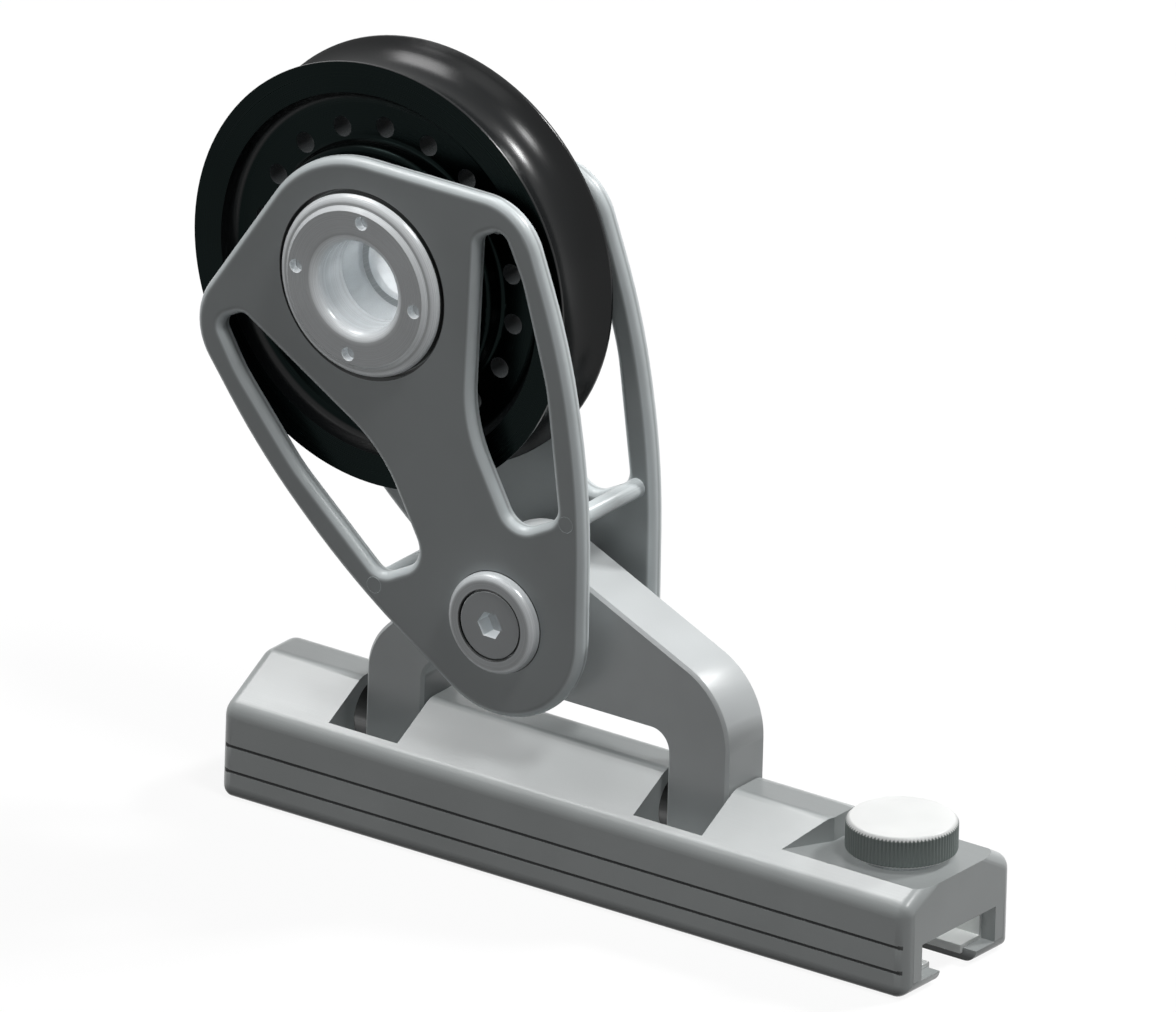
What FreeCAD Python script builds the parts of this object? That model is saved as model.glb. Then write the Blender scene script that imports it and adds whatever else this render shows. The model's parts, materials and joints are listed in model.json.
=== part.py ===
import FreeCAD, Part
import math
import os
import Sketcher

# Genoa car: a track car, its bail, a lead block with a hollow axle, and a plunger stop.
# Lengths are millimetres and angles are degrees.
# The origin is the middle of the car's sole. +X runs along the track towards the plunger, +Z is up.
# "Near" pieces are on the -Y side and "far" pieces on the +Y side.

Vector = FreeCAD.Vector
NEAR = -1
FAR = 1
# How far a cut runs past the stock, and how close counts as touching
OVERCUT = 1
TOUCH = 0.001

SIZES = {
    # Car body
    "car_length": 228.4,
    "car_width": 49.8,
    "car_height": 37.0,
    "side_height": 26.1,
    "top_slope_angle": 29.5,
    "shoulder_radius": 5.2,
    "crown_radius": 5.6,
    "end_radius": 3.9,
    "sole_radius": 1.5,
    "channel_width": 34.5,
    "channel_height": 14.1,
    "lip_thickness": 3.6,
    "lip_gap": 17.1,
    "side_groove_width": 0.9,
    "side_groove_depth": 0.7,
    "lower_groove_height": 7.5,
    "upper_groove_height": 14.9,
    "core_bore_diameter": 17.4,
    "core_bore_height": 25.5,
    # Low end of the car, round the plunger
    "low_end_height": 30.0,
    "step_distance": 19.3,
    "step_middle": 8.7,
    "step_flare_angle": 29.5,
    # Pockets for the bail's legs
    "left_pocket_x": -69.8,
    "right_pocket_x": 31.5,
    "pocket_length": 22.8,
    "pocket_width": 41.8,
    "pocket_floor": 20.5,
    "socket_floor": 18.6,
    "socket_play": 0.15,
    # Bail
    "bridge_thickness": 17.6,
    "left_leg_length": 18.8,
    "right_leg_length": 20.1,
    "leg_gap": 0.5,
    "pivot_x": -27.8,
    "pivot_height": 72.1,
    "boss_radius": 20.7,
    "left_slope_angle": 46.6,
    "right_slope_angle": 24.2,
    "left_corner_radius": 19.8,
    "right_corner_radius": 23.9,
    "window_top": 49.1,
    "window_radius": 6.0,
    "bridge_bevel": 0.9,
    "foot_screw_diameter": 7.9,
    "foot_screw_length": 24.0,
    "foot_screw_head": 15.6,
    "foot_screw_hex": 5.0,
    "foot_hole_end": 2.0,
    "screw_socket_share": 0.9,
    "thread_tip_round": 1.0,
    "thread_gap": 0.05,
    # Liners in the channel
    "liner_recess": 4.4,
    "liner_play": 0.15,
    "liner_web": 1.0,
    "liner_top": 1.6,
    "liner_bottom": 1.2,
    "liner_reach": 8.0,
    "liner_hook": 1.4,
    "liner_hook_play": 0.1,
    "liner_screw_diameter": 3.0,
    "liner_screw_head": 5.4,
    "liner_screw_length": 7.0,
    "liner_screw_end": 12.0,
    "liner_screw_hex": 2.0,
    # Plunger
    "knob_end_distance": 19.8,
    "knob_diameter": 31.0,
    "knob_height": 9.1,
    "knob_bevel": 1.1,
    "knob_gap": 0.3,
    "knob_flutes": 48,
    "knob_flute_radius": 0.6,
    "knob_cover": 2.0,
    "housing_diameter": 18.0,
    "housing_flange": 24.0,
    "housing_flange_height": 1.5,
    "housing_cavity": 15.0,
    "housing_roof": 2.2,
    "housing_end_gap": 0.3,
    "pin_floor_height": 17.0,
    "pin_diameter": 10.0,
    "pin_play": 0.05,
    "pin_rest_gap": 0.3,
    "pin_tip_height": 6.0,
    "pin_tip_bevel": 1.0,
    "pin_collar_diameter": 14.4,
    "pin_collar_height": 1.5,
    "stem_diameter": 6.0,
    "spring_diameter": 11.6,
    "spring_wire": 0.8,
    "spring_turns": 3,
    "spring_gap": 0.05,
    "grub_diameter": 3.0,
    "grub_length": 9.5,
    "grub_hex": 1.5,
    # Pivot of the lead block
    "sleeve_diameter": 18.0,
    "bush_diameter": 24.0,
    "bush_flange": 32.0,
    "bush_flange_thickness": 2.4,
    "flange_edge_round": 0.5,
    "running_gap": 0.05,
    "seat_gap": 0.02,
    "side_play": 0.3,
    "pivot_bolt_diameter": 12.0,
    "pivot_thread_diameter": 8.0,
    "pivot_thread_length": 13.0,
    "pivot_thread_end": 1.0,
    "pivot_joint_gap": 0.3,
    "pivot_head_diameter": 19.6,
    "pivot_head_thickness": 2.4,
    "pivot_head_proud": 3.1,
    "pivot_head_round": 0.4,
    "pivot_hex": 7.0,
    "pivot_hex_depth": 5.0,
    "collar_diameter": 29.0,
    "collar_spigot": 22.0,
    "collar_proud": 3.4,
    "collar_round": 2.3,
    "collar_head_gap": 0.35,
    # Cheeks
    "block_lean_angle": 28.85,
    "block_length": 98.8,
    "cheek_gap": 27.8,
    "cheek_thickness": 5.8,
    "cheek_round": 2.6,
    "cheek_foot_radius": 27.9,
    "cheek_flare_angle": 28.0,
    "cheek_waist_rise": 23.7,
    "cheek_waist_radius": 230.0,
    "cheek_hip_rise": 63.2,
    "cheek_hip_half": 57.2,
    "cheek_hip_radius": 200.0,
    "cheek_corner_rise": 105.6,
    "cheek_corner_half": 63.1,
    "cheek_corner_radius": 19.0,
    "cheek_top_radius": 36.1,
    # Window in each arm of a cheek, seen from the pivot: rise along the block, half width across it
    "slot_foot_rise": 21.4,
    "slot_inner_half": 16.6,
    "slot_inner_foot_radius": 6.8,
    "slot_outer_foot_half": 33.0,
    "slot_outer_foot_radius": 5.3,
    "slot_waist_rise": 56.7,
    "slot_waist_half": 46.1,
    "slot_waist_radius": 60.0,
    "slot_hip_rise": 86.5,
    "slot_hip_half": 52.3,
    "slot_hip_radius": 40.0,
    "slot_top_rise": 101.3,
    "slot_top_outer_half": 52.8,
    "slot_top_inner_half": 44.1,
    "slot_top_radius": 3.4,
    "slot_bend_rise": 54.0,
    "slot_bend_radius": 42.0,
    # Cross pins between the cheeks
    "spacer_rise": 19.6,
    "spacer_half": 35.7,
    "spacer_diameter": 5.4,
    "spacer_spigot": 4.6,
    # Hollow axle and its nuts
    "axle_diameter": 44.0,
    "axle_spigot": 40.0,
    "axle_bore": 25.8,
    "axle_thread": 34.0,
    "axle_rib_width": 2.8,
    "axle_rib_depth": 2.25,
    "nut_flange": 52.6,
    "nut_recess": 54.6,
    "nut_recess_depth": 3.0,
    "nut_proud": 3.5,
    "nut_round": 2.74,
    "nut_land": 0.06,
    "nut_bevel": 1.2,
    "nut_mouth_round": 3.3,
    "nut_spigot_length": 6.0,
    "nut_pin_circle": 39.4,
    "nut_pin_hole": 4.0,
    "nut_pin_depth": 2.6,
    "nut_pin_angle": 56.65,
    "axle_end_gap": 0.1,
    # Sheave
    "sheave_diameter": 122.4,
    "rim_width": 23.7,
    "rim_land": 0.8,
    "rope_groove_depth": 6.0,
    "rim_step_radius": 52.4,
    "web_thickness": 14.0,
    "web_cove_radius": 4.5,
    "hub_radius": 37.4,
    "hub_width": 25.2,
    "hub_round": 1.6,
    "hub_cove": 1.5,
    "web_hole_circle": 83.4,
    "web_hole_diameter": 5.9,
    "web_hole_count": 18,
    "web_hole_angle": 13.7,
    # Main bearing
    "roller_diameter": 5.0,
    "roller_count": 20,
    "roller_length": 20.0,
    "roller_gap": 0.05,
    "cage_thickness": 1.8,
    "cage_end_gap": 0.3,
    "cover_diameter": 64.0,
    "cover_gap": 0.3,
}

document = FreeCAD.newDocument("GenoaCar")
sheet = document.addObject("Spreadsheet::Sheet", "Sizes")
for row, (alias, amount) in enumerate(SIZES.items(), start=1):
    sheet.set(f"A{row}", alias)
    sheet.set(f"B{row}", str(amount))
    sheet.setAlias(f"B{row}", alias)
document.recompute()


# Numbers that remember the sheet formula they come from


class Size:
    """A number and the formula over the sheet's cells that gives it."""

    def __init__(self, value, formula):
        self.value = float(value)
        self.formula = formula

    def __add__(self, other):
        return Size(self.value + number(other), f"({self.formula} + {formula(other)})")

    def __sub__(self, other):
        return Size(self.value - number(other), f"({self.formula} - {formula(other)})")

    def __mul__(self, other):
        return Size(self.value * number(other), f"({self.formula} * {formula(other)})")

    def __truediv__(self, other):
        return Size(self.value / number(other), f"({self.formula} / {formula(other)})")

    def __neg__(self):
        return Size(-self.value, f"(-1 * {self.formula})")

    def __rmul__(self, other):
        return self * other


def number(item):
    return item.value if isinstance(item, Size) else float(item)


def formula(item):
    return item.formula if isinstance(item, Size) else repr(float(item))


def fixed(value):
    return Size(value, repr(float(value)))


def sine(angle):
    return Size(math.sin(math.radians(angle.value)), f"sin({angle.formula})")


def cosine(angle):
    return Size(math.cos(math.radians(angle.value)), f"cos({angle.formula})")


def tangent(angle):
    return Size(math.tan(math.radians(angle.value)), f"tan({angle.formula})")


def size(alias):
    return Size(sheet.get(alias), f"Sizes.{alias}")


ZERO = fixed(0)


# Sketched bodies


class Corner:
    """A corner of an outline: sharp, rounded, or the arc about a centre that the two edges touch."""

    def __init__(self, x, y, radius=None, centred=False, bow=None):
        self.x = x if isinstance(x, Size) else fixed(x)
        self.y = y if isinstance(y, Size) else fixed(y)
        self.radius = radius
        self.centred = centred
        self.bow = bow

    def place(self):
        return Vector(self.x.value, self.y.value, 0)


def sharp(x, y):
    return Corner(x, y)


def rounded(x, y, radius):
    return Corner(x, y, radius=radius)


def about(x, y, radius):
    """The outline follows the circle about this centre, with the centre on its left."""
    return Corner(x, y, radius=radius, centred=True)


def bowed(x, y, radius):
    """The edge that leaves this corner is an arc, with its centre on the left of the way it goes."""
    return Corner(x, y, bow=radius)


def left_of(direction):
    return Vector(-direction.y, direction.x, 0)


def edge_direction(start, end):
    """The direction of the straight edge from one corner to the next."""
    first = start.radius.value if start.centred else 0.0
    second = end.radius.value if end.centred else 0.0
    gap = end.place() - start.place()
    angle = math.atan2(gap.y, gap.x) - math.asin((second - first) / gap.Length)
    return Vector(math.cos(angle), math.sin(angle), 0)


def arc_between(centre, start, end, anticlockwise):
    """The arc from start to end as sketch geometry, with the names of its two ends."""
    circle = Part.Circle(centre, Vector(0, 0, 1), (start - centre).Length)
    first = math.atan2(start.y - centre.y, start.x - centre.x)
    last = math.atan2(end.y - centre.y, end.x - centre.x)
    if anticlockwise:
        return Part.ArcOfCircle(circle, first, last), 1, 2
    return Part.ArcOfCircle(circle, last, first), 2, 1


def tie(sketch, kind, item, spot, amount):
    """Ties a point's distance from the sketch's origin to the sheet."""
    index = sketch.addConstraint(Sketcher.Constraint(kind, -1, 1, item, spot, amount.value))
    sketch.setExpression(f"Constraints[{index}]", amount.formula)


def tie_point(sketch, item, spot, corner):
    tie(sketch, "DistanceX", item, spot, corner.x)
    tie(sketch, "DistanceY", item, spot, corner.y)


def tie_radius(sketch, item, radius):
    index = sketch.addConstraint(Sketcher.Constraint("Radius", item, radius.value))
    sketch.setExpression(f"Constraints[{index}]", radius.formula)


def draw_outline(sketch, corners):
    """Draws a closed outline through the corners, each tied to the sheet."""
    count = len(corners)
    following = corners[1:] + corners[:1]
    directions = [edge_direction(a, b) for a, b in zip(corners, following)]
    arrivals = []
    departures = []
    centres = []
    for index, corner in enumerate(corners):
        before = directions[index - 1]
        after = directions[index]
        place = corner.place()
        if corner.centred:
            arrivals.append(place - left_of(before) * corner.radius.value)
            departures.append(place - left_of(after) * corner.radius.value)
            centres.append((place, True))
        elif corner.radius is not None:
            turn = math.atan2(before.x * after.y - before.y * after.x, before.dot(after))
            reach = corner.radius.value * math.tan(abs(turn) / 2)
            arrivals.append(place - before * reach)
            departures.append(place + after * reach)
            inward = left_of(before) * math.copysign(corner.radius.value, turn)
            centres.append((arrivals[-1] + inward, turn > 0))
        else:
            arrivals.append(place)
            departures.append(place)
            centres.append(None)

    edges = []
    for index, corner in enumerate(corners):
        start = departures[index]
        end = arrivals[(index + 1) % count]
        if corner.bow is None:
            item = sketch.addGeometry(Part.LineSegment(start, end), False)
            edges.append((item, 1, 2))
        else:
            half = (end - start).Length / 2
            aside = left_of(directions[index]) * math.sqrt(corner.bow.value**2 - half**2)
            arc, first, last = arc_between((start + end) * 0.5 + aside, start, end, True)
            item = sketch.addGeometry(arc, False)
            edges.append((item, first, last))
            tie_radius(sketch, item, corner.bow)

    for index, corner in enumerate(corners):
        arriving, _, arrival_spot = edges[index - 1]
        leaving, departure_spot, _ = edges[index]
        if centres[index] is None:
            joint = Sketcher.Constraint("Coincident", arriving, arrival_spot, leaving, departure_spot)
            sketch.addConstraint(joint)
            tie_point(sketch, leaving, departure_spot, corner)
            continue
        centre, anticlockwise = centres[index]
        arc, first, last = arc_between(centre, arrivals[index], departures[index], anticlockwise)
        item = sketch.addGeometry(arc, False)
        sketch.addConstraint(Sketcher.Constraint("Tangent", arriving, arrival_spot, item, first))
        sketch.addConstraint(Sketcher.Constraint("Tangent", item, last, leaving, departure_spot))
        tie_radius(sketch, item, corner.radius)
        if corner.centred:
            tie_point(sketch, item, 3, corner)
        else:
            point = sketch.addGeometry(Part.Point(corner.place()), True)
            tie_point(sketch, point, 1, corner)
            sketch.addConstraint(Sketcher.Constraint("PointOnObject", point, 1, arriving))
            sketch.addConstraint(Sketcher.Constraint("PointOnObject", point, 1, leaving))


def draw_circle(sketch, x, y, radius):
    corner = sharp(x, y)
    circle = Part.Circle(corner.place(), Vector(0, 0, 1), radius.value)
    item = sketch.addGeometry(circle, False)
    tie_point(sketch, item, 3, corner)
    tie_radius(sketch, item, radius)


def draw_box(sketch, low_x, low_y, high_x, high_y):
    draw_outline(
        sketch,
        [sharp(low_x, low_y), sharp(high_x, low_y), sharp(high_x, high_y), sharp(low_x, high_y)],
    )


def draw_hexagon(sketch, across_flats):
    """A hexagon about the sketch's origin, with two corners on its vertical axis."""
    reach = across_flats / 2 / cosine(fixed(30))
    corners = []
    for step in range(6):
        angle = fixed(30 + 60 * step)
        corners.append(sharp(reach * cosine(angle), reach * sine(angle)))
    draw_outline(sketch, corners)


def new_body(label):
    body = document.addObject("PartDesign::Body", label)
    body.Label = label
    return body


def origin_part(body, role):
    for feature in body.Origin.OriginFeatures:
        if feature.Role == role:
            return feature
    raise LookupError(role)


def new_sketch(body, name, plane, offset=None):
    """A sketch on one of the body's own planes, moved along the plane's normal by offset."""
    sketch = body.newObject("Sketcher::SketchObject", name)
    sketch.AttachmentSupport = [(origin_part(body, plane), "")]
    sketch.MapMode = "FlatFace"
    if offset is not None:
        sketch.AttachmentOffset = FreeCAD.Placement(Vector(0, 0, offset.value), FreeCAD.Rotation())
        sketch.setExpression("AttachmentOffset.Base.z", offset.formula)
    return sketch


def pad(body, sketch, name, length, midplane=False):
    feature = body.newObject("PartDesign::Pad", name)
    feature.Profile = sketch
    feature.setExpression("Length", length.formula)
    feature.Midplane = midplane
    document.recompute()
    return feature


def pocket(body, sketch, name, length, along_normal=False, midplane=False):
    """Cuts the sketch's outline, against the sketch's normal unless told otherwise."""
    feature = body.newObject("PartDesign::Pocket", name)
    feature.Profile = sketch
    feature.setExpression("Length", length.formula)
    feature.Reversed = along_normal
    feature.Midplane = midplane
    document.recompute()
    return feature


def revolve(body, sketch, name):
    """Turns the sketch about its own vertical axis."""
    feature = body.newObject("PartDesign::Revolution", name)
    feature.Profile = sketch
    feature.ReferenceAxis = (sketch, ["V_Axis"])
    feature.Angle = 360.0
    document.recompute()
    return feature


def repeat_round(body, feature, name, axis, count):
    pattern = body.newObject("PartDesign::PolarPattern", name)
    pattern.Originals = [feature]
    pattern.Axis = (origin_part(body, axis), [""])
    pattern.Angle = 360.0
    pattern.setExpression("Occurrences", count.formula)
    body.Tip = pattern
    document.recompute()
    return pattern


def edges_where(feature, chosen):
    """The names of the feature's edges whose corners and middle all pass the test."""
    names = []
    for index, edge in enumerate(feature.Shape.Edges, start=1):
        middle = edge.valueAt((edge.FirstParameter + edge.LastParameter) / 2)
        points = [vertex.Point for vertex in edge.Vertexes] + [middle]
        if all(chosen(point) for point in points):
            names.append(f"Edge{index}")
    return names


def soften(body, feature, name, chosen, radius):
    fillet = body.newObject("PartDesign::Fillet", name)
    fillet.Base = (feature, edges_where(feature, chosen))
    fillet.setExpression("Radius", radius.formula)
    document.recompute()
    return fillet


def bevel(body, feature, name, chosen, width):
    chamfer = body.newObject("PartDesign::Chamfer", name)
    chamfer.Base = (feature, edges_where(feature, chosen))
    chamfer.setExpression("Size", width.formula)
    document.recompute()
    return chamfer


def close(first, second):
    return abs(first - number(second)) < TOUCH


def put(item, x, y, z, lean=None):
    """Places an object, and leans it towards -X about the Y axis where a lean is given."""
    rotation = FreeCAD.Rotation()
    if lean is not None:
        rotation = FreeCAD.Rotation(Vector(0, -1, 0), lean.value)
    item.Placement = FreeCAD.Placement(Vector(number(x), number(y), number(z)), rotation)
    for letter, amount in (("x", x), ("y", y), ("z", z)):
        item.setExpression(f"Placement.Base.{letter}", formula(amount))
    if lean is not None:
        item.setExpression("Placement.Rotation.Angle", lean.formula)


def turned(label, corners):
    """A turned piece: corners are radius and height along the Y axis."""
    body = new_body(label)
    sketch = new_sketch(body, f"{label}_profile", "XY_Plane")
    draw_outline(sketch, corners)
    revolve(body, sketch, f"{label}_turning")
    return body


def upright(label, corners):
    """A turned piece that stands: corners are radius and height along the Z axis."""
    body = new_body(label)
    sketch = new_sketch(body, f"{label}_profile", "XZ_Plane")
    draw_outline(sketch, corners)
    revolve(body, sketch, f"{label}_turning")
    return body


def group(label, items):
    compound = document.addObject("Part::Compound", label)
    compound.Label = label
    compound.Links = items
    return compound


# Places that several pieces share

half_length = size("car_length") / 2
half_width = size("car_width") / 2
knob_x = half_length - size("knob_end_distance")
pocket_half = size("pocket_length") / 2
left_leg_high = size("left_pocket_x") + pocket_half - size("leg_gap")
left_leg_low = left_leg_high - size("left_leg_length")
right_leg_high = size("right_pocket_x") + pocket_half - size("leg_gap")
right_leg_low = right_leg_high - size("right_leg_length")
LEGS = (
    ("left", size("left_pocket_x"), left_leg_low, left_leg_high),
    ("right", size("right_pocket_x"), right_leg_low, right_leg_high),
)
bridge_half = size("bridge_thickness") / 2
cheek_inner = size("cheek_gap") / 2
cheek_outer = cheek_inner + size("cheek_thickness")
lean = size("block_lean_angle")
sheave_x = size("pivot_x") - size("block_length") * sine(lean)
sheave_z = size("pivot_height") + size("block_length") * cosine(lean)
inner_race = size("axle_diameter") / 2
roller_circle = inner_race + size("roller_gap") + size("roller_diameter") / 2
outer_race = roller_circle + size("roller_diameter") / 2 + size("roller_gap")
hub_half = size("hub_width") / 2
foot_screw_bore = size("foot_screw_diameter") / 2 + size("thread_gap")


# Car body


def car_body():
    body = new_body("car_body")
    outer = new_sketch(body, "car_section", "YZ_Plane")
    rise = size("car_height") - size("side_height")
    crown_half = half_width - rise / tangent(size("top_slope_angle"))
    draw_outline(
        outer,
        [
            rounded(half_width, 0, size("sole_radius")),
            rounded(half_width, size("side_height"), size("shoulder_radius")),
            rounded(crown_half, size("car_height"), size("crown_radius")),
            rounded(-crown_half, size("car_height"), size("crown_radius")),
            rounded(-half_width, size("side_height"), size("shoulder_radius")),
            rounded(-half_width, 0, size("sole_radius")),
        ],
    )
    pad(body, outer, "car_bar", size("car_length"), midplane=True)
    soften_car_ends(body, cut_low_end(body))
    cut_channel(body)
    cut_side_grooves(body)
    cut_core_bore(body)
    for name, middle, leg_low, leg_high in LEGS:
        cut_leg_pocket(body, name, middle, leg_low, leg_high)
    cut_plunger_hole(body)
    cut_liner_screw_holes(body)
    return body


def cut_low_end(body):
    """The car is lower round the plunger, and the step up to its full height flares to the sides."""
    sketch = new_sketch(body, "low_end_plan", "XY_Plane", size("low_end_height"))
    wall = knob_x - size("step_distance")
    middle = size("step_middle") / 2
    flare = wall - (half_width - middle) * tangent(size("step_flare_angle"))
    draw_outline(
        sketch,
        [
            sharp(wall, -middle),
            sharp(flare, -half_width),
            sharp(half_length + OVERCUT, -half_width),
            sharp(half_length + OVERCUT, half_width),
            sharp(flare, half_width),
            sharp(wall, middle),
        ],
    )
    return pocket(body, sketch, "low_end", size("car_height"), along_normal=True)


def soften_car_ends(body, feature):
    """Both ends are rounded over the sides and slopes. The low end keeps a sharp top edge."""
    low_top = size("low_end_height")

    def on_end_outline(point):
        on_sole = point.z < size("sole_radius").value - TOUCH
        on_low_top = point.x > 0 and point.z > low_top.value - TOUCH
        return close(abs(point.x), half_length) and not on_sole and not on_low_top

    return soften(body, feature, "car_ends", on_end_outline, size("end_radius"))


def cut_channel(body):
    """The T-shaped channel that holds the track, with a lip on each side."""
    sketch = new_sketch(body, "channel_section", "YZ_Plane")
    wall = size("channel_width") / 2
    neck = size("lip_gap") / 2
    draw_outline(
        sketch,
        [
            sharp(neck, -OVERCUT),
            sharp(neck, size("lip_thickness")),
            sharp(wall, size("lip_thickness")),
            sharp(wall, size("channel_height")),
            sharp(-wall, size("channel_height")),
            sharp(-wall, size("lip_thickness")),
            sharp(-neck, size("lip_thickness")),
            sharp(-neck, -OVERCUT),
        ],
    )
    pocket(body, sketch, "channel", size("car_length") + OVERCUT * 2, midplane=True)


def cut_side_grooves(body):
    """Two fine grooves along each side."""
    sketch = new_sketch(body, "side_groove_section", "YZ_Plane")
    reach = size("side_groove_width") / 2
    for side in (NEAR, FAR):
        for height in (size("lower_groove_height"), size("upper_groove_height")):
            inner = (half_width - size("side_groove_depth")) * side
            outer = (half_width + OVERCUT) * side
            draw_box(sketch, inner, height - reach, outer, height + reach)
    pocket(body, sketch, "side_grooves", size("car_length") + OVERCUT * 2, midplane=True)


def cut_core_bore(body):
    """A round core from the left end to the right pocket, which saves weight."""
    sketch = new_sketch(body, "core_bore_section", "YZ_Plane", -half_length - OVERCUT)
    draw_circle(sketch, ZERO, size("core_bore_height"), size("core_bore_diameter") / 2)
    depth = half_length + size("right_pocket_x") - pocket_half + OVERCUT * 2
    pocket(body, sketch, "core_bore", depth, along_normal=True)


def cut_leg_pocket(body, name, middle, leg_low, leg_high):
    """An open pocket across the top, a close socket in its floor, and the screw hole under it."""
    wide = new_sketch(body, f"{name}_pocket_plan", "XY_Plane", size("pocket_floor"))
    reach = size("pocket_width") / 2
    draw_box(wide, middle - pocket_half, -reach, middle + pocket_half, reach)
    pocket(body, wide, f"{name}_pocket", size("car_height"), along_normal=True)
    close_fit = new_sketch(body, f"{name}_socket_plan", "XY_Plane", size("socket_floor"))
    play = size("socket_play")
    side = bridge_half + play
    draw_box(close_fit, leg_low - play, -side, leg_high + play, side)
    pocket(body, close_fit, f"{name}_socket", size("car_height"), along_normal=True)
    hole = new_sketch(body, f"{name}_screw_plan", "XY_Plane")
    draw_circle(hole, (leg_low + leg_high) / 2, ZERO, foot_screw_bore)
    pocket(body, hole, f"{name}_screw_hole", size("car_height"), along_normal=True)
    cut_countersink(body, f"{name}_countersink", (leg_low + leg_high) / 2, ZERO)


def cut_countersink(body, name, x, y):
    """A cone under the channel's ceiling for a foot screw's head."""
    cut_cone(body, name, x, y, size("foot_screw_head") / 2, foot_screw_bore, size("channel_height"))


def cut_cone(body, name, x, y, mouth, throat, height):
    """A 90 degree countersink that opens downwards at a height."""
    cone = body.newObject("PartDesign::SubtractiveCone", name)
    cone.AttachmentSupport = [(origin_part(body, "XY_Plane"), "")]
    cone.MapMode = "FlatFace"
    cone.AttachmentOffset = FreeCAD.Placement(Vector(x.value, y.value, height.value), FreeCAD.Rotation())
    cone.setExpression("AttachmentOffset.Base.x", x.formula)
    cone.setExpression("AttachmentOffset.Base.y", y.formula)
    cone.setExpression("AttachmentOffset.Base.z", height.formula)
    cone.setExpression("Radius1", mouth.formula)
    cone.setExpression("Radius2", throat.formula)
    cone.setExpression("Height", (mouth - throat).formula)
    document.recompute()


def cut_plunger_hole(body):
    """The housing's threaded hole from above, and the pin's guide hole through its floor."""
    wide = new_sketch(body, "housing_hole_plan", "XY_Plane", size("pin_floor_height"))
    draw_circle(wide, knob_x, ZERO, size("housing_diameter") / 2 + size("seat_gap"))
    pocket(body, wide, "housing_hole", size("car_height"), along_normal=True)
    narrow = new_sketch(body, "pin_hole_plan", "XY_Plane")
    draw_circle(narrow, knob_x, ZERO, size("pin_diameter") / 2 + size("pin_play"))
    pocket(body, narrow, "pin_hole", size("car_height"), along_normal=True)


def liner_screw_places():
    """Where the liner screws go: near both ends of each liner, in the middle of its top flange."""
    reach = half_length - size("liner_screw_end")
    inner = size("liner_reach")
    outer = size("channel_width") / 2 - size("liner_play") - size("liner_web")
    across = (inner + outer) / 2
    return [(reach * end, across * side) for end in (-1, 1) for side in (NEAR, FAR)]


def cut_liner_screw_holes(body):
    sketch = new_sketch(body, "liner_screw_plan", "XY_Plane", size("channel_height"))
    for x, y in liner_screw_places():
        draw_circle(sketch, x, y, size("liner_screw_diameter") / 2 + size("thread_gap"))
    pocket(body, sketch, "liner_screw_holes", size("liner_screw_length"), along_normal=True)


# Liners


def slide_liner(label, side):
    """A C-section liner that wraps one lip: web on the wall, flanges above and below, and a hook."""
    body = new_body(label)
    sketch = new_sketch(body, f"{label}_section", "YZ_Plane")
    ceiling = size("channel_height")
    floor = size("lip_thickness")
    wall = size("channel_width") / 2 - size("liner_play")
    web = wall - size("liner_web")
    neck = size("lip_gap") / 2 - size("liner_hook_play")
    hook = neck - size("liner_bottom")
    draw_outline(
        sketch,
        [
            sharp(wall * side, floor),
            sharp(wall * side, ceiling),
            sharp(size("liner_reach") * side, ceiling),
            sharp(size("liner_reach") * side, ceiling - size("liner_top")),
            sharp(web * side, ceiling - size("liner_top")),
            sharp(web * side, floor + size("liner_bottom")),
            sharp(hook * side, floor + size("liner_bottom")),
            sharp(hook * side, floor - size("liner_hook")),
            sharp(neck * side, floor - size("liner_hook")),
            sharp(neck * side, floor),
        ],
    )
    pad(body, sketch, f"{label}_bar", size("car_length") - size("liner_recess") * 2, midplane=True)
    holes = new_sketch(body, f"{label}_hole_plan", "XY_Plane", floor + size("liner_bottom"))
    mouth = size("liner_screw_head") / 2
    throat = size("liner_screw_diameter") / 2 + size("thread_gap")
    places = [place for place in liner_screw_places() if place[1].value * side > 0]
    for x, y in places:
        draw_circle(holes, x, y, throat)
    pocket(body, holes, f"{label}_holes", size("channel_height"), along_normal=True)
    for index, (x, y) in enumerate(places):
        cut_cone(body, f"{label}_countersink_{index}", x, y, mouth, throat, ceiling - size("liner_top"))
    return body


def countersunk_screw(label, x, y, height, head, diameter, length, hexagon):
    """A countersunk screw that points up: its flat head is at the height, with a hexagon socket."""
    head_height = (head - diameter) / 2
    body = upright(
        label,
        [
            sharp(0, 0),
            sharp(head / 2 - size("seat_gap"), 0),
            sharp(diameter / 2, head_height - size("seat_gap")),
            rounded(diameter / 2, length, size("thread_tip_round")),
            sharp(0, length),
        ],
    )
    sketch = new_sketch(body, f"{label}_socket_plan", "XY_Plane")
    draw_hexagon(sketch, hexagon)
    pocket(body, sketch, f"{label}_socket", head_height * size("screw_socket_share"), along_normal=True)
    put(body, x, y, height)
    return body


def liner_screws():
    screws = []
    for index, (x, y) in enumerate(liner_screw_places()):
        screw = countersunk_screw(
            f"liner_screw_{index}",
            x,
            y,
            size("channel_height") - size("liner_top"),
            size("liner_screw_head"),
            size("liner_screw_diameter"),
            size("liner_screw_length"),
            size("liner_screw_hex"),
        )
        screws.append(screw)
    return group("liner_screws", screws)


def bridge_screws():
    screws = []
    for name, _, leg_low, leg_high in LEGS:
        screw = countersunk_screw(
            f"bridge_screw_{name}",
            (leg_low + leg_high) / 2,
            ZERO,
            size("channel_height"),
            size("foot_screw_head"),
            size("foot_screw_diameter"),
            size("foot_screw_length"),
            size("foot_screw_hex"),
        )
        screws.append(screw)
    return group("bridge_screws", screws)


# Bail


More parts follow.
